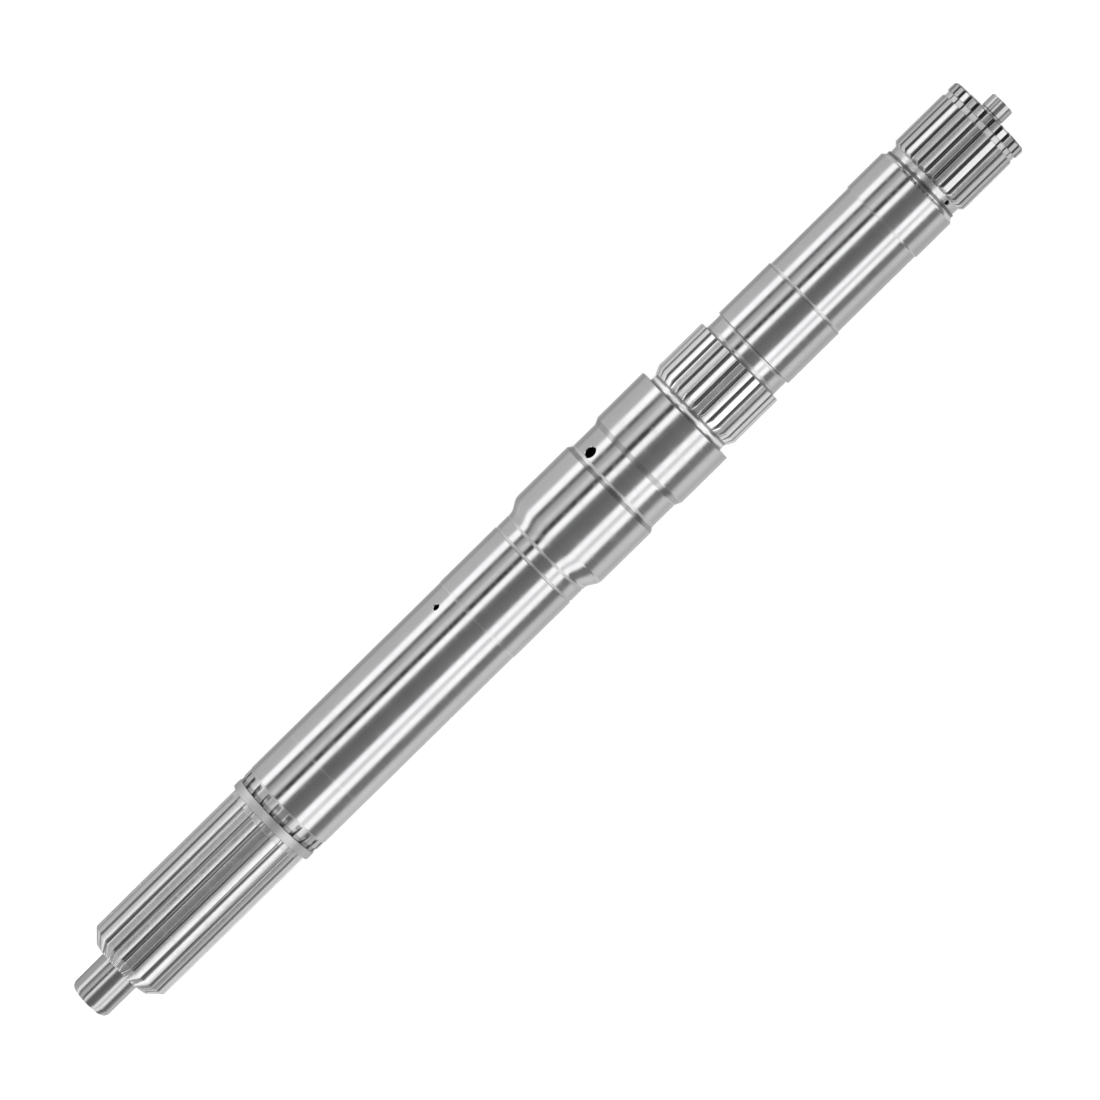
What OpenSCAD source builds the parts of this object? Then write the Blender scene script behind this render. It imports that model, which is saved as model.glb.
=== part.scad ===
// Intermediate shaft of an automatic transmission, with the spacer ring that sits on it.
// The shaft lies along X: its rear pilot points to -X and its front nub to +X.
// The origin is on the axis, halfway along the rear main journal.
// Angles about the axis start at the top, +Z, and turn towards -Y.

/* [Rear pilot] */
// Diameter of the rear pilot
pilot_d = 18.9; // [14:0.1:26]
// Length of the rear pilot, from its end to the spline's end face
pilot_len = 19.4; // [12:0.1:40]
// Radius of the pilot's rounded nose
pilot_nose_r = 3.2; // [0.5:0.1:4]
// Fillet between the pilot and the spline's end face
pilot_root_r = 1.0; // [0.2:0.1:1.5]
// Diameter of the lathe centre in the pilot's end
centre_d = 6.0; // [3:0.1:8]

/* [Rear spline] */
// Diameter over the teeth of the rear spline
rear_spline_d = 38.3; // [36:0.1:39.5]
// Length of the rear spline, from its end face to the spacer ring
rear_spline_len = 83.0; // [40:0.5:120]
// Number of teeth on the rear spline
rear_spline_teeth = 22; // [18:1:30]
// Width of the lead-in chamfer on the rear spline
rear_spline_lead = 4.8; // [1:0.1:6]
// Angle of one tooth space from the top
rear_spline_turn = 10.9; // [0:0.1:20]
// Radius of the cutter that leaves the rear tooth spaces
cutter_r = 35; // [20:1:60]

/* [Spacer ring] */
// Outside diameter of the spacer ring
ring_d = 41.3; // [40.5:0.1:44]
// Width of the spacer ring
ring_len = 4.1; // [2:0.1:8]
// Rounding of the spacer ring's outer edges
ring_edge_r = 0.8; // [0.2:0.1:0.9]
// Clearance between the ring's bore and the tooth tips, on the radius
ring_clearance = 0.05; // [0.02:0.01:0.15]

/* [Shoulder] */
// Diameter of the narrow stop that the spacer ring bears on
stop_d = 40.4; // [39.8:0.1:41]
// Width of the stop
stop_len = 1.8; // [0.6:0.1:4]
// Diameter of the shoulder that the cutter notches
shoulder_d = 41.2; // [40.8:0.1:43]
// Width of the notched shoulder
shoulder_len = 4.4; // [2:0.1:8]

/* [Rear journal] */
// Diameter of the long rear journal
rear_journal_d = 41.65; // [41.5:0.05:43]
// Length of the long rear journal
rear_journal_len = 105.4; // [60:0.2:140]
// Diameter of the press seat
seat_d = 42.1; // [41.8:0.1:44]
// Length of the press seat
seat_len = 31.2; // [15:0.2:60]
// Diameter of the band between the two ring grooves
band_d = 41.6; // [41:0.1:43]
// Length of the band, with both ring grooves
band_len = 7.2; // [4:0.1:14]
// Width of each ring groove
ring_groove_len = 0.9; // [0.4:0.1:1.5]
// Depth of each ring groove under the band
ring_groove_depth = 0.2; // [0.1:0.05:0.6]

/* [Main journals] */
// Diameter of the two main journals
main_d = 47.6; // [46.5:0.1:52]
// Steepest angle of the rise up to the main journals
rise_angle = 32; // [20:1:45]
// Radius of the two curves of the rise
rise_r = 5.6; // [2:0.1:6]
// Length of the rear main journal
main_rear_len = 27.0; // [15:0.2:45]
// Diameter of the oil neck between the main journals
oil_neck_d = 45.0; // [43.5:0.1:46]
// Length of the oil neck's floor
oil_neck_len = 12.4; // [7:0.1:25]
// Length of the taper from the rear main journal down to the oil neck
oil_neck_rear_lead = 2.0; // [0.5:0.1:4]
// Length of the taper from the oil neck up to the front main journal
oil_neck_front_lead = 2.8; // [0.5:0.1:4]
// Length of the front main journal
main_front_len = 25.2; // [15:0.2:45]

/* [Middle spline] */
// Diameter of the relief groove beside the front main journal
relief_d = 38.9; // [37.8:0.1:39.3]
// Width of the relief groove
relief_len = 3.4; // [2:0.1:6]
// Diameter over the teeth of the middle spline
mid_spline_d = 42.8; // [42.4:0.1:46]
// Length of the middle spline, with its lead-in
mid_spline_len = 26.9; // [15:0.1:50]
// Number of teeth on the middle spline
mid_spline_teeth = 30; // [26:1:36]
// Length of the middle spline's slow lead-in
mid_spline_lead = 3.1; // [1:0.1:5]
// Height of the middle spline's slow lead-in
mid_spline_lead_h = 1.4; // [0.4:0.1:1.6]
// Angle of one tooth space from the top
mid_spline_turn = 11.2; // [0:0.1:14]
// Diameter of the neck in front of the middle spline
neck_d = 37.3; // [35:0.1:38.5]
// Length of the neck
neck_len = 7.6; // [4:0.1:15]
// Fillet at each end of the neck
neck_root_r = 0.6; // [0.2:0.1:0.8]

/* [Front journals] */
// Diameter of the inner front journal
inner_journal_d = 39.2; // [39:0.1:40]
// Length of the inner front journal
inner_journal_len = 28.3; // [15:0.1:50]
// Diameter of the waist between the front journals
waist_d = 38.0; // [36:0.1:38.8]
// Length of the waist
waist_len = 42.7; // [20:0.1:70]
// Diameter of the outer front journal
outer_journal_d = 39.0; // [38.9:0.1:39.4]
// Length of the outer front journal
outer_journal_len = 19.1; // [10:0.1:40]
// Length of the taper in front of the outer journal
outer_taper_len = 1.4; // [0.5:0.1:3]
// Diameter of the narrow step beside the front neck
step_d = 36.1; // [35.6:0.1:37]
// Width of the narrow step
step_len = 1.6; // [0.5:0.1:3]
// Diameter of the front neck
front_neck_d = 34.8; // [33.6:0.1:35]
// Length of the front neck
front_neck_len = 2.9; // [2.4:0.1:6]

/* [Front spline] */
// Diameter over the teeth of the front spline
front_spline_d = 38.2; // [37.9:0.1:38.6]
// Length of the front spline, from the neck to the snap ring groove
front_spline_len = 27.9; // [15:0.1:50]
// Number of teeth on the front spline
front_spline_teeth = 27; // [24:1:34]
// Angle of one tooth space from the top
front_spline_turn = 6.7; // [0:0.1:15]
// Diameter of the snap ring groove's floor
snap_groove_d = 36.9; // [36:0.1:37.3]
// Width of the snap ring groove
snap_groove_len = 2.5; // [1:0.1:4]
// Length of the toothed land in front of the snap ring groove
end_land_len = 4.7; // [3:0.1:10]
// Chamfer on the front end of the land
end_chamfer = 0.9; // [0.3:0.1:1.2]

/* [Front nub] */
// Diameter of the front nub
nub_d = 10.9; // [10:0.1:16]
// Length of the front nub
nub_len = 7.4; // [5:0.1:15]
// Width of the undercut at the nub's root
nub_undercut_len = 1.0; // [0.4:0.1:2]
// Depth of the undercut at the nub's root
nub_undercut_depth = 0.3; // [0.1:0.05:0.5]
// Chamfer on the nub's end
nub_chamfer = 0.6; // [0.2:0.1:1]

/* [Oil passages] */
// Bore of the oil gallery along the axis
gallery_d = 4.5; // [3:0.1:6]
// Distance that the gallery runs on behind the rear feed hole
gallery_overrun = 6; // [3:0.5:20]
// Diameter of the feed hole in the rear journal
rear_feed_d = 2.6; // [1.5:0.1:3]
// Distance of the rear feed hole behind the press seat
rear_feed_back = 7.4; // [3:0.1:20]
// Angle of the rear feed hole from the top
rear_feed_turn = -46; // [-90:1:90]
// Diameter of the feed hole in the oil neck
main_feed_d = 5.0; // [3:0.1:5.5]
// Distance of the main feed hole from the oil neck's rear edge
main_feed_from_edge = 3.7; // [3.4:0.1:4.2]
// Angle of the main feed hole from the top
main_feed_turn = -45; // [-90:1:90]
// Diameter of the feed hole in the front neck
front_feed_d = 2.0; // [1:0.1:2.2]
// Angle of the front feed hole from the top
front_feed_turn = 47; // [-90:1:90]

/* [Edges] */
// Chamfer that breaks the sharp edges
edge_break = 0.3; // [0.1:0.05:0.4]

/* [Hidden] */

$fn = 128;
overlap = 1;
arc_steps = 6;
flank_steps = 4;

// Pressure angle of the spline teeth, and their depth in modules
pressure_angle = 20;
addendum = 0.5;
dedendum = 0.6;
// Share of the pitch circle that the tooth spaces take
space_share = 0.22;
// How far the flanks' curve goes on beyond the teeth
flank_run_on = 0.15;

// Angles of the lathe centre, the gallery's countersink and the drill's point
centre_cone = 60;
drill_point = 118;
gallery_mouth_d = gallery_d + 2;
centre_drill_d = 0.4 * centre_d;
centre_drill_len = centre_d;
feed_countersink = 0.35;

// Stations along the axis, counted from the end of the rear pilot
rear_spline_x = pilot_len;
ring_x = rear_spline_x + rear_spline_len;
stop_x = ring_x + ring_len;
shoulder_x = stop_x + stop_len;
rear_journal_x = shoulder_x + shoulder_len;
seat_x = rear_journal_x + rear_journal_len;
band_x = seat_x + seat_len;
rise_x = band_x + band_len;
rise_h = (main_d - band_d) / 2;
rise_curve_r = min(rise_r, rise_h / (2 * (1 - cos(rise_angle))));
rise_straight = (rise_h - 2 * rise_curve_r * (1 - cos(rise_angle))) / sin(rise_angle);
rise_len = 2 * rise_curve_r * sin(rise_angle) + rise_straight * cos(rise_angle);
main_rear_x = rise_x + rise_len;
oil_neck_taper_x = main_rear_x + main_rear_len;
oil_neck_x = oil_neck_taper_x + oil_neck_rear_lead;
oil_neck_end_x = oil_neck_x + oil_neck_len;
main_front_x = oil_neck_end_x + oil_neck_front_lead;
relief_x = main_front_x + main_front_len;
mid_spline_x = relief_x + relief_len;
neck_x = mid_spline_x + mid_spline_len;
inner_journal_x = neck_x + neck_len;
waist_x = inner_journal_x + inner_journal_len;
outer_journal_x = waist_x + waist_len;
outer_taper_x = outer_journal_x + outer_journal_len;
step_x = outer_taper_x + outer_taper_len;
front_neck_x = step_x + step_len;
front_spline_x = front_neck_x + front_neck_len;
snap_groove_x = front_spline_x + front_spline_len;
end_land_x = snap_groove_x + snap_groove_len;
nub_x = end_land_x + end_land_len;
shaft_len = nub_x + nub_len;
origin_x = main_rear_x + main_rear_len / 2;

rear_feed_x = seat_x - rear_feed_back;
main_feed_x = oil_neck_x + main_feed_from_edge;
front_feed_x = front_neck_x + front_neck_len / 2;
gallery_end_x = rear_feed_x - gallery_overrun;

front_spline_lead = (front_spline_d - front_neck_d) / 2;

// A spline of z teeth has the outside diameter (z + 1) modules
function spline_module(d, z) = d / (z + 2 * addendum);
function spline_root_r(d, z) = spline_module(d, z) * (z / 2 - dedendum);
function involute(a) = tan(a) - a * PI / 180;

// Half the angle of a tooth space at the radius r. Past the flanks it widens no more
function space_half_angle(d, z, r) =
    let (base_r = spline_module(d, z) * z / 2 * cos(pressure_angle),
         a = acos(min(1, base_r / min(r, d / 2 + flank_run_on))))
    180 * space_share / z - (involute(pressure_angle) - involute(a)) * 180 / PI;

// Points of a round stretch in a profile of [radius, station] pairs
function arc(r, x, size, from, to) =
    [for (i = [0 : arc_steps])
        let (a = from + (to - from) * i / arc_steps)
        [r + size * sin(a), x + size * cos(a)]];

// A land from x to its end, with both edges broken
function land(d, x, len) =
    [[d / 2 - edge_break, x], [d / 2, x + edge_break],
     [d / 2, x + len - edge_break], [d / 2 - edge_break, x + len]];

// A plain cylinder from x to its end
function bare(d, x, len) = [[d / 2, x], [d / 2, x + len]];

// Outline of the turned shaft before its teeth and holes are cut
function rear_outline() = concat(
    [[0, 0]],
    arc(pilot_d / 2 - pilot_nose_r, pilot_nose_r, pilot_nose_r, 180, 90),
    arc(pilot_d / 2 + pilot_root_r, rear_spline_x - pilot_root_r, pilot_root_r, -90, 0),
    [[rear_spline_d / 2 - rear_spline_lead, rear_spline_x]],
    [[rear_spline_d / 2, rear_spline_x + rear_spline_lead]],
    [[rear_spline_d / 2, stop_x]],
    bare(stop_d, stop_x, stop_len),
    bare(shoulder_d, shoulder_x, shoulder_len),
    bare(rear_journal_d, rear_journal_x, rear_journal_len),
    [[seat_d / 2, seat_x + (seat_d - rear_journal_d) / 2]],
    [[seat_d / 2, band_x - edge_break]],
    bare(band_d - 2 * ring_groove_depth, band_x, ring_groove_len),
    bare(band_d, band_x + ring_groove_len, band_len - 2 * ring_groove_len),
    bare(band_d - 2 * ring_groove_depth, rise_x - ring_groove_len, ring_groove_len));

function main_outline() = concat(
    arc(band_d / 2 + rise_curve_r, rise_x, rise_curve_r, -90, rise_angle - 90),
    arc(main_d / 2 - rise_curve_r, main_rear_x, rise_curve_r, 90 + rise_angle, 90),
    [[main_d / 2, oil_neck_taper_x]],
    bare(oil_neck_d, oil_neck_x, oil_neck_len),
    [[main_d / 2, main_front_x]],
    [[main_d / 2, relief_x - edge_break]],
    [[main_d / 2 - edge_break, relief_x]],
    bare(relief_d, relief_x, relief_len));

function front_outline() = concat(
    [[mid_spline_d / 2 - mid_spline_lead_h, mid_spline_x]],
    [[mid_spline_d / 2, mid_spline_x + mid_spline_lead]],
    [[mid_spline_d / 2, neck_x - edge_break]],
    [[mid_spline_d / 2 - edge_break, neck_x]],
    arc(neck_d / 2 + neck_root_r, neck_x + neck_root_r, neck_root_r, 180, 270),
    arc(neck_d / 2 + neck_root_r, inner_journal_x - neck_root_r, neck_root_r, -90, 0),
    land(inner_journal_d, inner_journal_x, inner_journal_len),
    bare(waist_d, waist_x, waist_len),
    [[outer_journal_d / 2 - edge_break, outer_journal_x]],
    [[outer_journal_d / 2, outer_journal_x + edge_break]],
    [[outer_journal_d / 2, outer_taper_x]],
    bare(step_d, step_x, step_len),
    bare(front_neck_d, front_neck_x, front_neck_len));

function end_outline() = concat(
    [[front_spline_d / 2, front_spline_x + front_spline_lead]],
    [[front_spline_d / 2, snap_groove_x]],
    bare(snap_groove_d, snap_groove_x, snap_groove_len),
    [[front_spline_d / 2, end_land_x]],
    [[front_spline_d / 2, nub_x - end_chamfer]],
    [[front_spline_d / 2 - end_chamfer, nub_x]],
    [[nub_d / 2 + nub_undercut_depth, nub_x]],
    [[nub_d / 2 - nub_undercut_depth, nub_x - nub_undercut_depth]],
    [[nub_d / 2 - nub_undercut_depth, nub_x + nub_undercut_len]],
    [[nub_d / 2, nub_x + nub_undercut_len + nub_undercut_depth]],
    [[nub_d / 2, shaft_len - nub_chamfer]],
    [[nub_d / 2 - nub_chamfer, shaft_len]],
    [[0, shaft_len]]);

// Turns the drawing's Z axis into the shaft's X axis, with its own -X side at the top
module along_shaft(x) {
    translate([x, 0, 0])
        rotate([0, 90, 0])
            children();
}

module turned_blank() {
    along_shaft(0)
        rotate_extrude()
            polygon(concat(rear_outline(), main_outline(), front_outline(), end_outline()));
}

// The spaces between the teeth, as bars that reach in past the root
module tooth_spaces(d, z, turn, x, len) {
    inner_r = spline_root_r(d, z) - overlap;
    flank_h = d / 2 + flank_run_on - inner_r;
    flank = [for (i = [0 : flank_steps]) inner_r + flank_h * i / flank_steps];
    radii = concat(flank, [max(d, rear_journal_d, main_d) / 2 + overlap]);
    along_shaft(x)
        linear_extrude(len)
            for (i = [0 : z - 1])
                rotate(180 + turn + i * 360 / z)
                    polygon(concat(
                        [for (r = radii) let (a = space_half_angle(d, z, r)) r * [cos(a), sin(a)]],
                        [for (j = [flank_steps + 1 : -1 : 0])
                            let (r = radii[j], a = space_half_angle(d, z, r))
                            r * [cos(a), -sin(a)]]));
}

// Cuts straight through, for a spline that is open at both ends
module open_cut(d, z, turn, x, len) {
    root_r = spline_root_r(d, z);
    intersection() {
        tooth_spaces(d, z, turn, x, len);
        along_shaft(x)
            rotate_extrude()
                translate([root_r, 0])
                    square([main_d, len]);
    }
}

// The rear cut runs out through the shoulder along the cutter's own curve
module rear_cut() {
    root_r = spline_root_r(rear_spline_d, rear_spline_teeth);
    depth = rear_journal_d / 2 - root_r;
    run_angle = acos(1 - depth / cutter_r);
    lift_x = rear_journal_x - cutter_r * sin(run_angle);
    start_x = rear_spline_x - overlap;
    intersection() {
        tooth_spaces(rear_spline_d, rear_spline_teeth, rear_spline_turn,
                     start_x, rear_journal_x - start_x);
        along_shaft(0)
            rotate_extrude()
                polygon(concat(
                    [[main_d, start_x], [root_r, start_x]],
                    arc(root_r + cutter_r, lift_x, cutter_r, -90, run_angle - 90),
                    [[main_d, rear_journal_x]]));
    }
}

module feed_hole(d, x, turn, surface_d) {
    translate([x, 0, 0])
        rotate([turn, 0, 0]) {
            cylinder(d = d, h = main_d);
            translate([0, 0, surface_d / 2 - feed_countersink])
                cylinder(d1 = d, d2 = d + 4 * feed_countersink, h = 2 * feed_countersink);
        }
}

// The gallery is drilled from the nub's end and stops behind the rear feed hole
module gallery() {
    point_len = gallery_d / 2 / tan(drill_point / 2);
    mouth_len = (gallery_mouth_d - gallery_d) / 2 / tan(centre_cone / 2);
    along_shaft(gallery_end_x)
        rotate_extrude()
            polygon([[0, -point_len], [gallery_d / 2, 0],
                     [gallery_d / 2, shaft_len - mouth_len - gallery_end_x],
                     [gallery_mouth_d / 2, shaft_len - gallery_end_x],
                     [gallery_mouth_d / 2, shaft_len - gallery_end_x + overlap],
                     [0, shaft_len - gallery_end_x + overlap]]);
}

module lathe_centre() {
    cone_len = (centre_d - centre_drill_d) / 2 / tan(centre_cone / 2);
    along_shaft(0)
        rotate_extrude()
            polygon([[0, -overlap], [centre_d / 2, -overlap], [centre_d / 2, 0],
                     [centre_drill_d / 2, cone_len],
                     [centre_drill_d / 2, cone_len + centre_drill_len],
                     [0, cone_len + centre_drill_len]]);
}

module intermediate_shaft() {
    mid_cut_x = relief_x + relief_len / 4;
    front_cut_x = front_neck_x + overlap / 4;
    color("silver")
        translate([-origin_x, 0, 0])
            difference() {
                turned_blank();
                rear_cut();
                open_cut(mid_spline_d, mid_spline_teeth, mid_spline_turn,
                         mid_cut_x, neck_x + overlap - mid_cut_x);
                open_cut(front_spline_d, front_spline_teeth, front_spline_turn,
                         front_cut_x, nub_x + overlap - front_cut_x);
                gallery();
                lathe_centre();
                feed_hole(rear_feed_d, rear_feed_x, rear_feed_turn, rear_journal_d);
                feed_hole(main_feed_d, main_feed_x, main_feed_turn, oil_neck_d);
                feed_hole(front_feed_d, front_feed_x, front_feed_turn, front_neck_d);
            }
}

// A plain ring that slides over the rear teeth and bears on the stop
module spacer_ring() {
    bore_r = rear_spline_d / 2 + ring_clearance;
    outer_r = ring_d / 2 - ring_edge_r;
    color("gainsboro")
        translate([-origin_x, 0, 0])
            along_shaft(0)
                rotate_extrude()
                    polygon(concat(
                        [[bore_r, ring_x]],
                        arc(outer_r, ring_x + ring_edge_r, ring_edge_r, 180, 90),
                        arc(outer_r, stop_x - ring_edge_r, ring_edge_r, 90, 0),
                        [[bore_r, stop_x]]));
}

intermediate_shaft();
spacer_ring();
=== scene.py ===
"""Looks of the intermediate shaft: fine meshes over the solids, ground steel, light and camera."""

import math

import bmesh
import bpy
from mathutils import Matrix, Vector


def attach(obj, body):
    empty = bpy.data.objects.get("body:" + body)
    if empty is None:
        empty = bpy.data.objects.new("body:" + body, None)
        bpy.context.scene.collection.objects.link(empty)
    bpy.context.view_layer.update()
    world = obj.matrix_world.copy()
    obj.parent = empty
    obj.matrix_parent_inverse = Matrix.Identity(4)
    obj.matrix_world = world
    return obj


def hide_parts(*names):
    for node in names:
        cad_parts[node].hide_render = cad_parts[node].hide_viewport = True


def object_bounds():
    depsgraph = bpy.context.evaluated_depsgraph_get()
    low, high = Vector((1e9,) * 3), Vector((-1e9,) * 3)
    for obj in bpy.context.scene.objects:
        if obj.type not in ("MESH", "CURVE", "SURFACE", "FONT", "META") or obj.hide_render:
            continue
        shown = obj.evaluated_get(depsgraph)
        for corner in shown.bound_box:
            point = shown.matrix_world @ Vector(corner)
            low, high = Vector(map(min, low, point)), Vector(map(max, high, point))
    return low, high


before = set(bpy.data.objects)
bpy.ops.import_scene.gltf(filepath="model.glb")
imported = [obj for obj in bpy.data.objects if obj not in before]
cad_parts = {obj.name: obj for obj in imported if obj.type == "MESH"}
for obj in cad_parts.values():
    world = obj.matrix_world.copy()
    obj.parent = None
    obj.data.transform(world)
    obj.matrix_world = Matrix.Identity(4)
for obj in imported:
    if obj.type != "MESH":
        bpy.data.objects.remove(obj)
cad_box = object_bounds()

MM = 0.001

# Diameters, in millimetres
PILOT_D = 18.9
REAR_SPLINE_D = 38.3
RING_D = 41.3
STOP_D = 40.4
SHOULDER_D = 41.2
REAR_JOURNAL_D = 41.65
SEAT_D = 42.1
BAND_D = 41.6
MAIN_D = 47.6
OIL_NECK_D = 45.0
RELIEF_D = 38.9
MID_SPLINE_D = 42.8
NECK_D = 37.3
INNER_JOURNAL_D = 39.2
WAIST_D = 38.0
OUTER_JOURNAL_D = 39.0
STEP_D = 36.1
FRONT_NECK_D = 34.8
FRONT_SPLINE_D = 38.2
SNAP_GROOVE_D = 36.9
NUB_D = 10.9
GALLERY_D = 4.5
CENTRE_D = 6.0

# Stations along the axis, in millimetres from the origin
REAR_END = -278.013
REAR_SPLINE_X = -258.613
RING_X = -175.613
STOP_X = -171.513
SHOULDER_X = -169.713
REAR_JOURNAL_X = -165.313
SEAT_X = -59.913
BAND_X = -28.713
RISE_X = -21.513
MAIN_REAR_X = -13.5
OIL_NECK_TAPER_X = 13.5
OIL_NECK_X = 15.5
OIL_NECK_END_X = 27.9
MAIN_FRONT_X = 30.7
RELIEF_X = 55.9
MID_SPLINE_X = 59.3
NECK_X = 86.2
INNER_JOURNAL_X = 93.8
WAIST_X = 122.1
OUTER_JOURNAL_X = 164.8
OUTER_TAPER_X = 183.9
STEP_X = 185.3
FRONT_NECK_X = 186.9
FRONT_SPLINE_X = 189.8
SNAP_GROOVE_X = 217.7
END_LAND_X = 220.2
NUB_X = 224.9
FRONT_END = 232.3
GALLERY_END = -73.31

# Roundings, chamfers, tapers and grooves, in millimetres and degrees
NOSE_R = 3.2
PILOT_FILLET = 1.0
REAR_LEAD = 4.8
RING_CLEARANCE = 0.05
RING_EDGE = 0.7
RING_GROOVE_LEN = 0.9
RING_GROOVE_DEPTH = 0.2
SEAT_STEP = 0.225
RISE_ANGLE = 32
RISE_R = 5.6
MID_LEAD = 3.1
MID_LEAD_H = 1.4
FRONT_LEAD = 1.7
END_CHAMFER = 0.9
NUB_UNDERCUT = 0.3
NUB_UNDERCUT_LEN = 1.0
NUB_CHAMFER = 0.6
GALLERY_MOUTH = 1.0
MARK_X = -144.6
MARK_LEN = 0.9

# Teeth: number, and the angle of one space from the top, towards -Y
REAR_TEETH, REAR_TURN = 22, 10.9
MID_TEETH, MID_TURN = 30, 11.2
FRONT_TEETH, FRONT_TURN = 27, 6.7
PRESSURE_ANGLE = math.radians(20)
ADDENDUM = 0.5
DEDENDUM = 0.6
SPACE_SHARE = 0.22
CUTTER_R = 35.0

# Oil holes: diameter, station, angle from the top towards -Y, diameter of the surface
FEED_HOLES = [
    (2.6, -67.31, -46.0, REAR_JOURNAL_D),
    (5.0, 19.2, -45.0, OIL_NECK_D),
    (2.0, 188.35, 47.0, FRONT_NECK_D),
]
FEED_CHAMFER = 0.35

# Points around a plain ring, around an oil hole, in each curve of the rise, and from the middle of a
# tooth space to the middle of the tooth
ROUND_STEPS = 180
DRILL_STEPS = 64
RISE_STEPS = 12
HALF_TOOTH_POINTS = 13


def corner(points, i, radius):
    """Rounds the corner of a profile at point i and returns the points of its arc."""
    steps = 3 if radius < 0.5 else 4 if radius < 0.9 else 6 if radius < 2 else 10
    before, here, after = (Vector(points[j]) for j in (i - 1, i, i + 1))
    a, b = (before - here), (after - here)
    if radius <= 0 or a.length < 1e-9 or b.length < 1e-9:
        return [tuple(here)]
    angle = a.angle(b)
    if angle > math.radians(176):
        return [tuple(here)]
    back = min(radius / math.tan(angle / 2), 0.49 * a.length, 0.49 * b.length)
    radius = back * math.tan(angle / 2)
    centre = here + (a.normalized() + b.normalized()).normalized() * (radius / math.sin(angle / 2))
    p, q = here + a.normalized() * back - centre, here + b.normalized() * back - centre
    turn = math.atan2(p.x * q.y - p.y * q.x, p.dot(q))
    made = []
    for k in range(steps + 1):
        t = turn * k / steps
        made.append((centre.x + p.x * math.cos(t) - p.y * math.sin(t),
                     centre.y + p.x * math.sin(t) + p.y * math.cos(t)))
    return made


def rounded(points, radii):
    """A profile of (x, r) pairs with each inner corner rounded by its own radius."""
    made = [points[0]]
    for i in range(1, len(points) - 1):
        made += corner(points, i, radii[i])
    made.append(points[-1])
    return made


def circle(x, r, count=ROUND_STEPS):
    """One ring of the skin: its (angle, x, r) points, all the way round."""
    return [(2 * math.pi * k / count, x, r) for k in range(count)]


def involute(a):
    return math.tan(a) - a


def space_half(d, z, r):
    """Half the angle of a tooth space at the radius r. Beyond the teeth it widens no more."""
    base = d / (z + 2 * ADDENDUM) * z / 2 * math.cos(PRESSURE_ANGLE)
    a = math.acos(min(1.0, base / min(r, d / 2)))
    return math.pi * SPACE_SHARE / z - involute(PRESSURE_ANGLE) + involute(a)


def root_radius(d, z):
    return d / (z + 2 * ADDENDUM) * (z / 2 - DEDENDUM)


def half_space(d, z, tip, root, tip_round, root_round):
    """Points from the middle of a space to the middle of a tooth, as (angle, radius)."""
    pitch = math.pi / z
    low = space_half(d, z, root)
    high = space_half(d, z, tip)
    depth = tip - root
    if depth < 1e-4:
        last = HALF_TOOTH_POINTS - 1
        return [(pitch * k / last, tip) for k in range(HALF_TOOTH_POINTS)]
    root_round = min(root_round, 0.35 * depth, 0.8 * low * root)
    tip_round = min(tip_round, 0.3 * depth, 0.35 * (pitch - high) * tip)
    made = [(low * k / 2 * (1 - root_round / (low * root)), root) for k in range(2)]
    for k in range(3):
        t = math.pi / 2 * k / 2
        r = root + root_round * (1 - math.cos(t))
        a = low - root_round / root * (1 - math.sin(t))
        made.append((min(a, space_half(d, z, r)), r))
    for k in range(1, 3):
        r = root + root_round + (depth - root_round - tip_round) * k / 3
        made.append((space_half(d, z, r), r))
    for k in range(4):
        t = math.pi / 2 * k / 3
        r = tip - tip_round * (1 - math.sin(t))
        made.append((high + tip_round / tip * (1 - math.cos(t)), r))
    for k in range(1, 3):
        start = high + tip_round / tip
        made.append((start + (pitch - start) * k / 2, tip))
    return made


def toothed(x, d, z, turn, tip, root, tip_round=0.22, root_round=0.45):
    """One ring of a spline's skin. It turns the same way as circle() does."""
    half = half_space(d, z, tip, root, tip_round, root_round)
    made = []
    for i in range(z):
        middle = turn + 2 * math.pi * i / z
        made += [(middle - a, x, r) for a, r in reversed(half[1:])]
        made += [(middle + a, x, r) for a, r in half[:-1]]
    return made


def rear_root(x):
    """Radius of the rear spline's spaces, which run out along the cutter's curve."""
    root = root_radius(REAR_SPLINE_D, REAR_TEETH)
    depth = REAR_JOURNAL_D / 2 - root
    lift = REAR_JOURNAL_X - CUTTER_R * math.sin(math.acos(1 - depth / CUTTER_R))
    if x <= lift:
        return root
    return root + CUTTER_R - math.sqrt(CUTTER_R ** 2 - min(x - lift, CUTTER_R) ** 2)


def toothed_stretch(profile, d, z, turn, root_of):
    """Rings over a profile of (x, r) pairs, cut by the tooth spaces wherever it stands above their root."""
    turn = math.radians(turn)
    return [toothed(x, d, z, turn, r, min(root_of(x), r)) for x, r in profile]


def refined(profile, stretches):
    """Adds points to the profile's straight runs between the given stations."""
    made = []
    for (x0, r0), (x1, r1) in zip(profile, profile[1:]):
        made.append((x0, r0))
        for lo, hi, step in stretches:
            if x0 >= lo - 1e-6 and x1 <= hi + 1e-6 and x1 - x0 > step:
                n = math.ceil((x1 - x0) / step)
                made += [(x0 + (x1 - x0) * k / n, r0 + (r1 - r0) * k / n) for k in range(1, n)]
                break
    made.append(profile[-1])
    return made


def plain(profile, count=ROUND_STEPS):
    return [circle(x, r, count) for x, r in profile]


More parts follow.
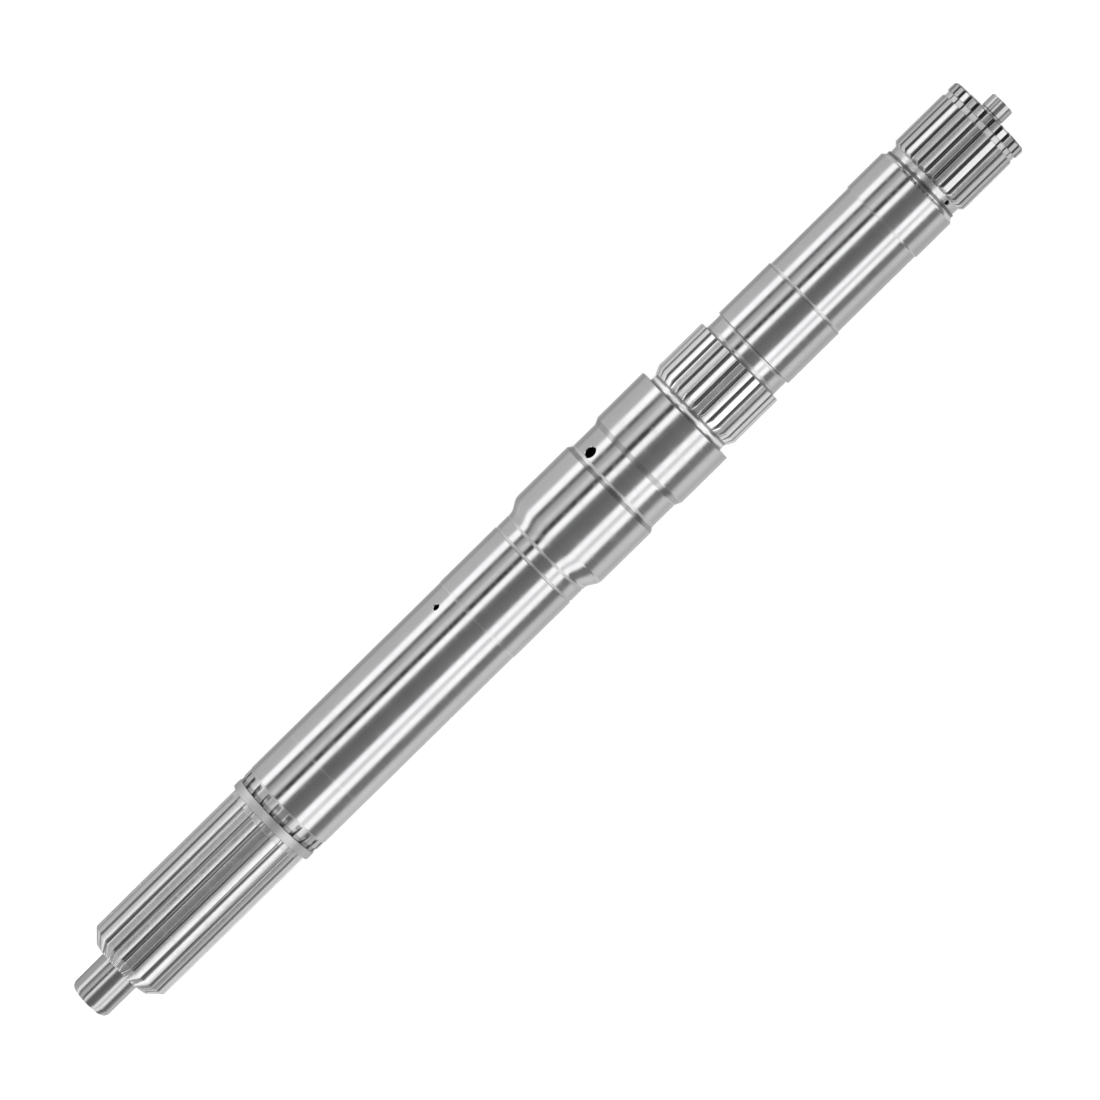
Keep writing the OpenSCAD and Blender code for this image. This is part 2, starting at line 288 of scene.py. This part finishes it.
def bore_to_pilot():
    """The lathe centre and the pilot, up to the face of the rear spline."""
    drill_r = 0.2 * CENTRE_D
    cone = (CENTRE_D / 2 - drill_r) / math.tan(math.radians(30))
    points = [(REAR_END + cone + CENTRE_D, 0.02), (REAR_END + cone + CENTRE_D, drill_r),
              (REAR_END + cone, drill_r), (REAR_END, CENTRE_D / 2), (REAR_END, PILOT_D / 2),
              (REAR_SPLINE_X, PILOT_D / 2), (REAR_SPLINE_X, PILOT_D / 2 + 3)]
    return rounded(points, [0, 0, 0.1, 0.2, NOSE_R, PILOT_FILLET, 0])


def rear_spline_profile():
    r = REAR_SPLINE_D / 2
    points = [(REAR_SPLINE_X, PILOT_D / 2 + 3.5), (REAR_SPLINE_X, r - REAR_LEAD),
              (REAR_SPLINE_X + REAR_LEAD, r), (STOP_X, r), (STOP_X, STOP_D / 2),
              (SHOULDER_X, STOP_D / 2), (SHOULDER_X, SHOULDER_D / 2), (REAR_JOURNAL_X, SHOULDER_D / 2)]
    made = rounded(points, [0, 0.25, 0.5, 0.1, 0.25, 0.1, 0.2, 0])
    return refined(made, [(REAR_SPLINE_X + 0.3, REAR_SPLINE_X + REAR_LEAD - 0.1, 0.8),
                          (SHOULDER_X, REAR_JOURNAL_X, 0.6)])


def middle_profile():
    """From the long journal to the foot of the middle spline."""
    rise = math.radians(RISE_ANGLE)
    high = (MAIN_D - BAND_D) / 2
    r = min(RISE_R, high / (2 * (1 - math.cos(rise))))
    floor_r = BAND_D / 2 - RING_GROOVE_DEPTH
    groove_end, groove_start = BAND_X + RING_GROOVE_LEN, RISE_X - RING_GROOVE_LEN
    made = rounded(
        [(REAR_JOURNAL_X, SHOULDER_D / 2 + 0.05), (REAR_JOURNAL_X, REAR_JOURNAL_D / 2),
         (SEAT_X, REAR_JOURNAL_D / 2), (SEAT_X + SEAT_STEP, SEAT_D / 2), (BAND_X - 0.3, SEAT_D / 2),
         (BAND_X, floor_r), (groove_end, floor_r), (groove_end, BAND_D / 2),
         (groove_start, BAND_D / 2), (groove_start, floor_r), (RISE_X, floor_r)],
        [0, 0.3, 0.1, 0.1, 0.25, 0.1, 0.05, 0.06, 0.06, 0.05, 0])
    for k in range(RISE_STEPS + 1):
        a = rise * k / RISE_STEPS
        made.append((RISE_X + r * math.sin(a), BAND_D / 2 + r * (1 - math.cos(a))))
    for k in range(RISE_STEPS + 1):
        a = rise * (1 - k / RISE_STEPS)
        made.append((MAIN_REAR_X - r * math.sin(a), MAIN_D / 2 - r * (1 - math.cos(a))))
    m, o = MAIN_D / 2, OIL_NECK_D / 2
    made += rounded(
        [(MAIN_REAR_X, m), (OIL_NECK_TAPER_X, m), (OIL_NECK_X, o), (OIL_NECK_END_X, o),
         (MAIN_FRONT_X, m), (RELIEF_X, m), (RELIEF_X, RELIEF_D / 2), (MID_SPLINE_X - 0.05, RELIEF_D / 2)],
        [0, 0.8, 0.6, 0.8, 0.8, 0.4, 0.5, 0])[1:]
    return made


def mid_spline_profile():
    r = MID_SPLINE_D / 2
    points = [(MID_SPLINE_X - 0.02, RELIEF_D / 2), (MID_SPLINE_X, RELIEF_D / 2),
              (MID_SPLINE_X, r - MID_LEAD_H), (MID_SPLINE_X + MID_LEAD, r), (NECK_X, r),
              (NECK_X, NECK_D / 2 + 1.6)]
    made = rounded(points, [0, 0, 0.2, 0.6, 0.35, 0])
    return refined(made, [(MID_SPLINE_X, MID_SPLINE_X + MID_LEAD, 0.5)])


def front_profile():
    """From the neck to the foot of the front spline."""
    n = NECK_D / 2
    points = [(NECK_X, n + 1.5), (NECK_X, n), (INNER_JOURNAL_X, n), (INNER_JOURNAL_X, INNER_JOURNAL_D / 2),
              (WAIST_X, INNER_JOURNAL_D / 2), (WAIST_X, WAIST_D / 2), (OUTER_JOURNAL_X, WAIST_D / 2),
              (OUTER_JOURNAL_X, OUTER_JOURNAL_D / 2), (OUTER_TAPER_X, OUTER_JOURNAL_D / 2),
              (STEP_X, STEP_D / 2), (FRONT_NECK_X, STEP_D / 2), (FRONT_NECK_X, FRONT_NECK_D / 2),
              (FRONT_SPLINE_X - 0.1, FRONT_NECK_D / 2)]
    return rounded(points, [0, 0.6, 0.6, 0.35, 0.35, 0.3, 0.3, 0.3, 0.35, 0.2, 0.25, 0.3, 0])


def front_spline_profile():
    r = FRONT_SPLINE_D / 2
    g = SNAP_GROOVE_D / 2
    points = [(FRONT_SPLINE_X - 0.05, FRONT_NECK_D / 2), (FRONT_SPLINE_X, FRONT_NECK_D / 2),
              (FRONT_SPLINE_X + FRONT_LEAD, r), (SNAP_GROOVE_X, r), (SNAP_GROOVE_X, g), (END_LAND_X, g),
              (END_LAND_X, r), (NUB_X - END_CHAMFER, r), (NUB_X, r - END_CHAMFER), (NUB_X, NUB_D / 2 + 6)]
    made = rounded(points, [0, 0, 0.4, 0.2, 0, 0, 0.2, 0.3, 0.2, 0])
    return refined(made, [(FRONT_SPLINE_X, FRONT_SPLINE_X + FRONT_LEAD, 0.4)])


def nub_to_gallery():
    """The nub, its relief, and the gallery up to its blind end."""
    n, g = NUB_D / 2, GALLERY_D / 2
    mouth_len = GALLERY_MOUTH / math.tan(math.radians(30))
    cut, cut_len = NUB_UNDERCUT, NUB_UNDERCUT_LEN
    points = [(NUB_X, n + 5.5), (NUB_X, n + cut), (NUB_X - cut, n - cut), (NUB_X + cut_len, n - cut),
              (NUB_X + cut_len + cut, n), (FRONT_END - NUB_CHAMFER, n), (FRONT_END, n - NUB_CHAMFER),
              (FRONT_END, g + GALLERY_MOUTH), (FRONT_END - mouth_len, g), (GALLERY_END, g),
              (GALLERY_END - 1.3, 0.02)]
    return rounded(points, [0, 0.1, 0.1, 0.1, 0.1, 0.15, 0.15, 0.12, 0.1, 0.05, 0])


def skin(rings, name):
    """Joins rings of points into a closed mesh. Rings may have different numbers of points."""
    verts, faces, starts = [], [], []
    for ring in rings:
        starts.append(len(verts))
        for a, x, r in ring:
            verts.append((x * MM, -r * math.sin(a) * MM, r * math.cos(a) * MM))
    for i in range(len(rings) - 1):
        p, q = rings[i], rings[i + 1]
        s, t = starts[i], starts[i + 1]
        if len(p) == len(q):
            n = len(p)
            faces += [(s + k, t + k, t + (k + 1) % n, s + (k + 1) % n) for k in range(n)]
            continue
        faces += zipped(p, q, s, t)
    faces.append(tuple(range(len(rings[0]))))
    last = starts[-1]
    faces.append(tuple(reversed(range(last, last + len(rings[-1])))))
    mesh = bpy.data.meshes.new(name)
    mesh.from_pydata(verts, [], faces)
    mesh.validate()
    return mesh


def around(ring):
    """The order of a ring's points by angle, and their angles, both run on past the first point."""
    full = 2 * math.pi
    order = sorted(range(len(ring)), key=lambda k: ring[k][0] % full)
    angles = [ring[k][0] % full for k in order]
    return order + order[:1], angles + [angles[0] + full, math.inf]


def zipped(p, q, s, t):
    """Triangles between two rings with different numbers of points, joined in the order of their angles."""
    order_p, angle_p = around(p)
    order_q, angle_q = around(q)
    faces, i, j = [], 0, 0
    while i < len(p) or j < len(q):
        here_p, here_q = s + order_p[i], t + order_q[j]
        if angle_p[i + 1] <= angle_q[j + 1]:
            i += 1
            faces.append((here_p, here_q, s + order_p[i]))
        else:
            j += 1
            faces.append((here_p, here_q, t + order_q[j]))
    return faces


def placed(data, name):
    obj = bpy.data.objects.new(name, data)
    bpy.context.scene.collection.objects.link(obj)
    return obj


def drill(d, x, turn, surface_d):
    """The tool for one oil hole: a long cylinder with a chamfer where it leaves the surface."""
    r = surface_d / 2
    start, past, flare = 1.0, 2.5, 2.8
    profile = [(start, d / 2), (r - FEED_CHAMFER, d / 2), (r, d / 2 + FEED_CHAMFER),
               (r + past, d / 2 + flare)]
    n = DRILL_STEPS
    starts = []
    a = math.radians(turn)
    out = Vector((0, -math.sin(a), math.cos(a)))
    side = Vector((0, math.cos(a), math.sin(a)))
    verts, faces = [], []
    for h, radius in profile:
        starts.append(len(verts))
        for k in range(n):
            t = 2 * math.pi * k / n
            p = Vector((x, 0, 0)) + out * h
            p = p + Vector((1, 0, 0)) * radius * math.cos(t) + side * radius * math.sin(t)
            verts.append(tuple(c * MM for c in p))
    for s, e in zip(starts, starts[1:]):
        faces += [(s + k, s + (k + 1) % n, e + (k + 1) % n, e + k) for k in range(n)]
    faces.append(tuple(reversed(range(n))))
    faces.append(tuple(range(starts[-1], starts[-1] + n)))
    mesh = bpy.data.meshes.new("drill")
    mesh.from_pydata(verts, [], faces)
    return placed(mesh, "drill")


def outward(obj):
    """Turns the faces of a closed mesh outwards."""
    b = bmesh.new()
    b.from_mesh(obj.data)
    bmesh.ops.recalc_face_normals(b, faces=b.faces)
    b.to_mesh(obj.data)
    b.free()


def finished(obj, edge_deg):
    """Applies the modifiers, keeps hard edges hard and lets the large faces lead the shading."""
    weighted = obj.modifiers.new("weighted", "WEIGHTED_NORMAL")
    weighted.keep_sharp = True
    weighted.weight = 100
    obj.data.shade_smooth()
    obj.data.set_sharp_from_angle(angle=math.radians(edge_deg))
    dg = bpy.context.evaluated_depsgraph_get()
    made = bpy.data.meshes.new_from_object(obj.evaluated_get(dg))
    obj.modifiers.clear()
    obj.data = made


def build_shaft():
    mid_root_r = root_radius(MID_SPLINE_D, MID_TEETH)
    front_root_r = root_radius(FRONT_SPLINE_D, FRONT_TEETH)
    rings = plain(bore_to_pilot())
    rings += toothed_stretch(rear_spline_profile(), REAR_SPLINE_D, REAR_TEETH, REAR_TURN, rear_root)
    rings += plain(middle_profile())
    rings += toothed_stretch(mid_spline_profile(), MID_SPLINE_D, MID_TEETH, MID_TURN,
                             lambda x: mid_root_r)
    rings += plain(front_profile())
    rings += toothed_stretch(front_spline_profile(), FRONT_SPLINE_D, FRONT_TEETH, FRONT_TURN,
                             lambda x: front_root_r)
    rings += plain(nub_to_gallery())
    obj = placed(skin(rings, "shaft"), "shaft")
    outward(obj)
    drills = [drill(*hole) for hole in FEED_HOLES]
    for tool in drills:
        outward(tool)
        cut = obj.modifiers.new("cut", "BOOLEAN")
        cut.operation = "DIFFERENCE"
        cut.solver = "EXACT"
        cut.object = tool
    dg = bpy.context.evaluated_depsgraph_get()
    obj.data = bpy.data.meshes.new_from_object(obj.evaluated_get(dg))
    obj.modifiers.clear()
    for tool in drills:
        bpy.data.objects.remove(tool)
    finished(obj, 40)
    return obj


def build_ring():
    bore = REAR_SPLINE_D / 2 + RING_CLEARANCE
    r = RING_D / 2
    middle = (RING_X + STOP_X) / 2
    points = [(middle, r), (STOP_X, r), (STOP_X, bore), (RING_X, bore), (RING_X, r), (middle, r)]
    profile = rounded(points, [0, RING_EDGE, 0.15, 0.15, RING_EDGE, 0])[1:-1]
    n = ROUND_STEPS
    verts, faces = [], []
    for x, radius in profile:
        for k in range(n):
            a = 2 * math.pi * k / n
            verts.append((x * MM, -radius * math.sin(a) * MM, radius * math.cos(a) * MM))
    m = len(profile)
    for i in range(m):
        s, e = i * n, ((i + 1) % m) * n
        faces += [(s + k, e + k, e + (k + 1) % n, s + (k + 1) % n) for k in range(n)]
    mesh = bpy.data.meshes.new("ring")
    mesh.from_pydata(verts, [], faces)
    obj = placed(mesh, "ring")
    outward(obj)
    finished(obj, 60)
    return obj


def grey(level):
    return (level, level, level, 1)


class Nodes:
    """A short way to write a material's nodes."""

    def __init__(self, tree):
        self.tree = tree
        tree.nodes.clear()

    def add(self, kind, **settings):
        node = self.tree.nodes.new(kind)
        for key, value in settings.items():
            setattr(node, key, value)
        return node

    def link(self, a, b):
        self.tree.links.new(a, b)

    def put(self, socket, value):
        if isinstance(value, (int, float, tuple)):
            socket.default_value = value
        else:
            self.link(value, socket)

    def math(self, operation, a, b=None, c=None, clamp=False):
        node = self.add("ShaderNodeMath", operation=operation, use_clamp=clamp)
        for socket, value in zip(node.inputs, (a, b, c)):
            if value is not None:
                self.put(socket, value)
        return node.outputs[0]

    def mix(self, factor, a, b):
        node = self.add("ShaderNodeMix", data_type="RGBA")
        self.put(node.inputs["Factor"], factor)
        self.put(node.inputs["A"], a)
        self.put(node.inputs["B"], b)
        return node.outputs["Result"]

    def noise(self, place, scale, detail=3.0, rough=0.5, stretch=(1, 1, 1)):
        """Noise over the object, stretched along its axes."""
        mapping = self.add("ShaderNodeMapping")
        mapping.inputs["Scale"].default_value = stretch
        self.link(place, mapping.inputs["Vector"])
        node = self.add("ShaderNodeTexNoise", noise_dimensions="3D")
        node.inputs["Scale"].default_value = scale
        node.inputs["Detail"].default_value = detail
        node.inputs["Roughness"].default_value = rough
        self.link(mapping.outputs[0], node.inputs["Vector"])
        return node.outputs["Fac"]

    def ramp(self, value, low, high, to_low=0.0, to_high=1.0):
        node = self.add("ShaderNodeMapRange", clamp=True)
        self.put(node.inputs["Value"], value)
        for key, number in (("From Min", low), ("From Max", high), ("To Min", to_low), ("To Max", to_high)):
            node.inputs[key].default_value = number
        return node.outputs[0]


def within(n, x, a, b, soft):
    """1 where the station x is between a and b, in millimetres, with soft ends."""
    up = n.ramp(x, (a - soft) * MM, (a + soft) * MM)
    down = n.ramp(x, (b - soft) * MM, (b + soft) * MM, 1.0, 0.0)
    return n.math("MULTIPLY", up, down)


def new_material(name):
    """A material with its nodes' writer and its surface shader."""
    mat = bpy.data.materials.new(name)
    mat.use_nodes = True
    n = Nodes(mat.node_tree)
    out = n.add("ShaderNodeOutputMaterial")
    bsdf = n.add("ShaderNodeBsdfPrincipled")
    n.link(bsdf.outputs[0], out.inputs[0])
    return mat, n, bsdf


def add_bump(n, bsdf, height, strength):
    bump = n.add("ShaderNodeBump")
    bump.inputs["Strength"].default_value = strength
    bump.inputs["Distance"].default_value = 0.00002
    n.link(height, bump.inputs["Height"])
    n.link(bump.outputs[0], bsdf.inputs["Normal"])


# Edges, grooves and faces with a finish of their own, and their painted light: from, to, how much rougher,
# tone. The tone paints shade where it is darker and highlights where it is lighter
FINISH_AND_PAINTED_LIGHT = [
    # The rear pilot, the run-out of the rear teeth with a painted reflection of the ring's face, the ring's
    # stop in painted shade, the notched shoulder
    (REAR_END, REAR_SPLINE_X, 0.04, 0.30),
    (RING_X - 2.6, RING_X, 0.16, 0.46),
    (STOP_X, SHOULDER_X, 0.20, 0.22),
    (SHOULDER_X, REAR_JOURNAL_X, 0.18, 0.42),
    # A faint mark on the rear journal, painted highlights at the press seat's edge and in the two ring
    # grooves
    (MARK_X, MARK_X + MARK_LEN, 0.05, 0.43),
    (SEAT_X, SEAT_X + 0.5, 0.07, 0.45),
    (BAND_X - 0.2, BAND_X + 1.1, 0.22, 0.44),
    (RISE_X - 1.1, RISE_X + 0.1, 0.22, 0.44),
    # The oil neck's tapers in painted shade, with the painted highlight beside the rear one
    (OIL_NECK_TAPER_X, OIL_NECK_X - 0.2, 0.05, 0.18),
    (OIL_NECK_X, OIL_NECK_X + 1.1, 0.18, 0.48),
    (OIL_NECK_END_X + 0.3, MAIN_FRONT_X - 0.2, 0.05, 0.27),
    # The relief groove: painted shade in both corners, a painted highlight on its floor
    (RELIEF_X - 0.1, RELIEF_X + 0.7, 0.20, 0.12),
    (RELIEF_X + 1.2, MID_SPLINE_X - 1.1, 0.40, 0.90),
    (MID_SPLINE_X - 0.6, MID_SPLINE_X + 0.1, 0.20, 0.16),
    # The neck's corners in painted shade, and painted highlights and shade lines at the edges of the
    # journals and the waist
    (NECK_X - 0.2, NECK_X + 0.7, 0.20, 0.16),
    (NECK_X + 1.2, NECK_X + 2.2, 0.13, 0.42),
    (INNER_JOURNAL_X - 1.3, INNER_JOURNAL_X - 0.4, 0.13, 0.42),
    (INNER_JOURNAL_X - 0.1, INNER_JOURNAL_X + 0.3, 0.15, 0.24),
    (WAIST_X - 0.8, WAIST_X - 0.3, 0.10, 0.25),
    (WAIST_X, WAIST_X + 0.9, 0.20, 0.47),
    (OUTER_JOURNAL_X - 0.3, OUTER_JOURNAL_X + 0.4, 0.07, 0.44),
    # Painted shade in the narrow step, painted highlights on the front neck and in the snap ring groove,
    # and the nub
    (STEP_X + 0.4, FRONT_NECK_X + 0.1, 0.12, 0.08),
    (FRONT_NECK_X + 0.8, FRONT_SPLINE_X, 0.14, 0.46),
    (SNAP_GROOVE_X, END_LAND_X, 0.28, 0.56),
    (NUB_X - 0.2, FRONT_END, 0.07, 0.34),
]
PAINTED_LIGHT_SHARE = 0.85
# Splines: from, to, diameter, length and height of the lead-in, tone of the teeth, which also paints how
# bright each spline looks under this light, depth at which their gaps darken with painted shade, and how
# much
SPLINES = [
    (REAR_SPLINE_X, RING_X - 2.2, REAR_SPLINE_D, REAR_LEAD, REAR_LEAD, 0.48, 0.2, 0.42),
    (MID_SPLINE_X, NECK_X, MID_SPLINE_D, MID_LEAD, MID_LEAD_H, 0.66, 0.02, 0.56),
    (FRONT_SPLINE_X, SNAP_GROOVE_X, FRONT_SPLINE_D, FRONT_LEAD, FRONT_LEAD, 0.47, 0.02, 0.58),
    (SNAP_GROOVE_X, END_LAND_X, FRONT_SPLINE_D, 0.1, 0.1, 0.56, 0.8, 0.75),
    (END_LAND_X, NUB_X - 0.5, FRONT_SPLINE_D, 0.1, 0.1, 0.47, 0.02, 0.88),
]
SPLINE_SHARE = 0.8
# Painted shade in the gaps and notches: its tone, and how much the notches take
PAINTED_GAP_SHADE = (0.06, 0.06, 0.062, 1)
NOTCH_SHADE_SHARE = 0.6
# Width of the soft ends of every stretch, either way
SOFT = 0.25


def ground_steel():
    mat, n, bsdf = new_material("ground_steel")
    place = n.add("ShaderNodeTexCoord").outputs["Object"]
    parts = n.add("ShaderNodeSeparateXYZ")
    n.link(place, parts.inputs[0])
    x, y, z = parts.outputs
    radius = n.math("SQRT", n.math("ADD", n.math("MULTIPLY", y, y), n.math("MULTIPLY", z, z)))

    lathe = n.noise(place, 1.0, 2.0, 0.6, (5200, 26, 26))
    lathe_wide = n.noise(place, 1.0, 2.0, 0.5, (520, 9, 9))
    blotch = n.noise(place, 34.0, 4.0, 0.6)
    mottle = n.noise(place, 160.0, 4.0, 0.65)
    fine = n.noise(place, 900.0, 3.0, 0.6)

    tone = n.ramp(blotch, 0.3, 0.7, 0.0, 1.0)
    colour = n.mix(tone, (0.385, 0.385, 0.39, 1), (0.425, 0.425, 0.43, 1))
    rough = n.math("ADD", n.ramp(lathe_wide, 0.3, 0.7, 0.10, 0.14), n.ramp(mottle, 0.4, 0.75, 0.0, 0.06))
    # Painted shade and painted highlights along the shaft, with the rougher finish of those stretches
    for a, b, gain, level in FINISH_AND_PAINTED_LIGHT:
        part = within(n, x, a, b, SOFT)
        colour = n.mix(n.math("MULTIPLY", part, PAINTED_LIGHT_SHARE), colour, grey(level))
        rough = n.math("ADD", rough, n.math("MULTIPLY", part, gain))
    for a, b, d, lead, lead_h, level, start, dark in SPLINES:
        part = within(n, x, a, b, SOFT)
        colour = n.mix(n.math("MULTIPLY", part, SPLINE_SHARE), colour, grey(level))
        tip = n.ramp(x, a * MM, (a + lead) * MM, (d / 2 - lead_h) * MM, d / 2 * MM)
        # Painted shade in the tooth gaps, from the given depth below the tips
        gap = n.ramp(n.math("SUBTRACT", tip, radius), start * MM, (start + 0.15) * MM)
        gap = n.math("MULTIPLY", part, gap)
        colour = n.mix(n.math("MULTIPLY", gap, dark), colour, PAINTED_GAP_SHADE)
        gain = n.math("ADD", n.math("MULTIPLY", part, 0.11), n.math("MULTIPLY", gap, 0.2))
        rough = n.math("ADD", rough, gain)
    # Painted shade in the cutter's run-out notches in the shoulder
    notch = n.math("MULTIPLY", within(n, x, SHOULDER_X + 1.4, REAR_JOURNAL_X - 0.1, 0.4),
                   n.ramp(radius, (SHOULDER_D / 2 - 0.3) * MM, (SHOULDER_D / 2 - 0.1) * MM, 1.0, 0.0))
    colour = n.mix(n.math("MULTIPLY", notch, NOTCH_SHADE_SHARE), colour, PAINTED_GAP_SHADE)
    n.link(colour, bsdf.inputs["Base Color"])
    bsdf.inputs["Metallic"].default_value = 1.0
    n.link(rough, bsdf.inputs["Roughness"])
    add_bump(n, bsdf, n.math("ADD", n.math("MULTIPLY", lathe, 0.6), n.math("MULTIPLY", fine, 0.4)), 0.12)
    return mat


def satin_steel():
    mat, n, bsdf = new_material("satin_steel")
    place = n.add("ShaderNodeTexCoord").outputs["Object"]
    grain = n.noise(place, 2600.0, 3.0, 0.6)
    blotch = n.noise(place, 90.0, 3.0, 0.55)
    colour = n.mix(n.ramp(blotch, 0.3, 0.7), (0.35, 0.35, 0.355, 1), (0.45, 0.45, 0.455, 1))
    n.link(colour, bsdf.inputs["Base Color"])
    bsdf.inputs["Metallic"].default_value = 1.0
    n.link(n.ramp(grain, 0.3, 0.7, 0.34, 0.46), bsdf.inputs["Roughness"])
    add_bump(n, bsdf, grain, 0.25)
    return mat


def pale_floor():
    mat, n, bsdf = new_material("pale_floor")
    bsdf.inputs["Base Color"].default_value = grey(0.86)
    bsdf.inputs["Roughness"].default_value = 0.9
    bsdf.inputs["Specular IOR Level"].default_value = 0.1
    bsdf.inputs["Emission Color"].default_value = grey(1)
    bsdf.inputs["Emission Strength"].default_value = FLOOR_GLOW
    return mat


# Studio light around the shaft: angle from the top towards +Y, in degrees, and brightness
BANDS = [
    (-180, 0.75), (-140, 0.90), (-122, 1.25), (-108, 1.25), (-98, 0.40), (-77, 0.33), (-71, 2.4),
    (-60, 2.4), (-57, 1.5), (-50, 1.5), (-47, 2.4), (-37.5, 2.4), (-32, 0.42), (-22, 0.35),
    (-4, 0.28), (6.8, 0.36), (13, 2.4), (21.4, 2.4), (24.5, 0.06), (32.5, 0.08), (36.4, 1.2),
    (43, 1.48), (48, 1.04), (57, 0.72), (60.5, 0.25), (66, 0.29), (71.5, 2.4), (83.3, 2.4),
    (90, 1.05), (124, 0.95), (140, 0.55), (180, 0.75),
]
BRIGHTEST = 2.4
# How the lower bands close up with the light's direction along the shaft: from which angle down, over
# which directions, where they stand as listed, and by how much. Steeper directions, which only tapers
# and chamfers see, are left out
CLOSER_PAST = 40
CLOSER_OVER = (-0.14, 0.06)
CLOSER_FADE = (0.14, 0.24)
CLOSER_FROM = -0.07
CLOSER = 2.3
FLOOR_GLOW = 0.33
FLOOR_HALF = 15.0
FLOOR_DROP = 0.00005
SUN = 0.85


def studio():
    world = bpy.data.worlds.new("studio")
    bpy.context.scene.world = world
    world.use_nodes = True
    n = Nodes(world.node_tree)
    out = n.add("ShaderNodeOutputWorld")
    back = n.add("ShaderNodeBackground")
    n.link(back.outputs[0], out.inputs[0])
    way = n.add("ShaderNodeTexCoord").outputs["Generated"]
    parts = n.add("ShaderNodeSeparateXYZ")
    n.link(way, parts.inputs[0])
    x, y, z = parts.outputs
    # Twice the angle of the metal's own slope, so that a streak runs on over a taper
    angle = n.math("MULTIPLY", n.math("ARCTAN2", y, n.math("ADD", z, 1.0)), 2.0)
    # The lower bands stand closer together towards the front, so their streaks narrow along the shaft
    low, high = CLOSER_OVER
    closer = n.ramp(x, low, high, CLOSER * (low - CLOSER_FROM), CLOSER * (high - CLOSER_FROM))
    closer = n.math("MULTIPLY", closer, n.ramp(n.math("ABSOLUTE", x), *CLOSER_FADE, 1.0, 0.0))
    past = n.math("MINIMUM", n.math("ADD", angle, math.radians(CLOSER_PAST)), 0.0)
    angle = n.math("ADD", angle, n.math("MULTIPLY", closer, past))
    share = n.ramp(angle, -math.pi, math.pi)
    ramp = n.add("ShaderNodeValToRGB")
    stops = ramp.color_ramp.elements
    # The ramp begins with two stops of its own, and keeps all of them in order
    for i, (turn, _) in enumerate(BANDS):
        place = (turn + 180) / 360
        stop = stops[i] if i < 2 else stops.new(place)
        stop.position = place
    for stop, (_, level) in zip(stops, BANDS):
        stop.color = grey(level / BRIGHTEST)
    n.link(share, ramp.inputs[0])
    n.link(ramp.outputs[0], back.inputs["Color"])
    back.inputs["Strength"].default_value = BRIGHTEST

    sun = bpy.data.lights.new("overhead", "SUN")
    sun.energy = SUN
    sun.angle = math.radians(70)
    lamp = placed(sun, "overhead")
    lamp.rotation_euler = (math.radians(8), math.radians(-6), 0)
    lamp.visible_glossy = False

    floor_z = cad_box[0].z - FLOOR_DROP
    mesh = bpy.data.meshes.new("floor")
    half = FLOOR_HALF
    mesh.from_pydata([(-half, -half, floor_z), (half, -half, floor_z), (half, half, floor_z),
                      (-half, half, floor_z)], [], [(0, 1, 2, 3)])
    floor = placed(mesh, "floor")
    floor.data.materials.append(pale_floor())
    # The light's own lower half stands for the floor in the metal
    floor.visible_glossy = False


# The camera, from the photograph's own perspective
AXIS_TURN = math.radians(44.508)
CAMERA_AT = Vector((0.0997, 0.0, 2.78))
CAMERA_TO = Vector((-0.0199, -0.0006, 0.0))
CAMERA_LENS = 229.3


def camera():
    data = bpy.data.cameras.new("camera")
    data.lens = CAMERA_LENS
    data.sensor_width = 36.0
    data.clip_start, data.clip_end = 0.05, 60.0
    cam = placed(data, "camera")
    back = (CAMERA_AT - CAMERA_TO).normalized()
    up = Vector((math.sin(AXIS_TURN), math.cos(AXIS_TURN), 0))
    right = up.cross(back).normalized()
    up = back.cross(right)
    turn = Matrix((right, up, back)).transposed().to_4x4()
    cam.matrix_world = Matrix.Translation(CAMERA_AT) @ turn
    bpy.context.scene.camera = cam


camera()
studio()

shaft = build_shaft()
shaft.data.materials.clear()
shaft.data.materials.append(ground_steel())
shaft.name = "steel_shaft"
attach(shaft, "root")
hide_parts("intermediate_shaft")

ring = build_ring()
ring.data.materials.clear()
ring.data.materials.append(satin_steel())
ring.name = "satin_ring"
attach(ring, "root")
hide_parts("spacer_ring")

view = bpy.context.scene.view_settings
view.view_transform = "Standard"
view.look = "None"
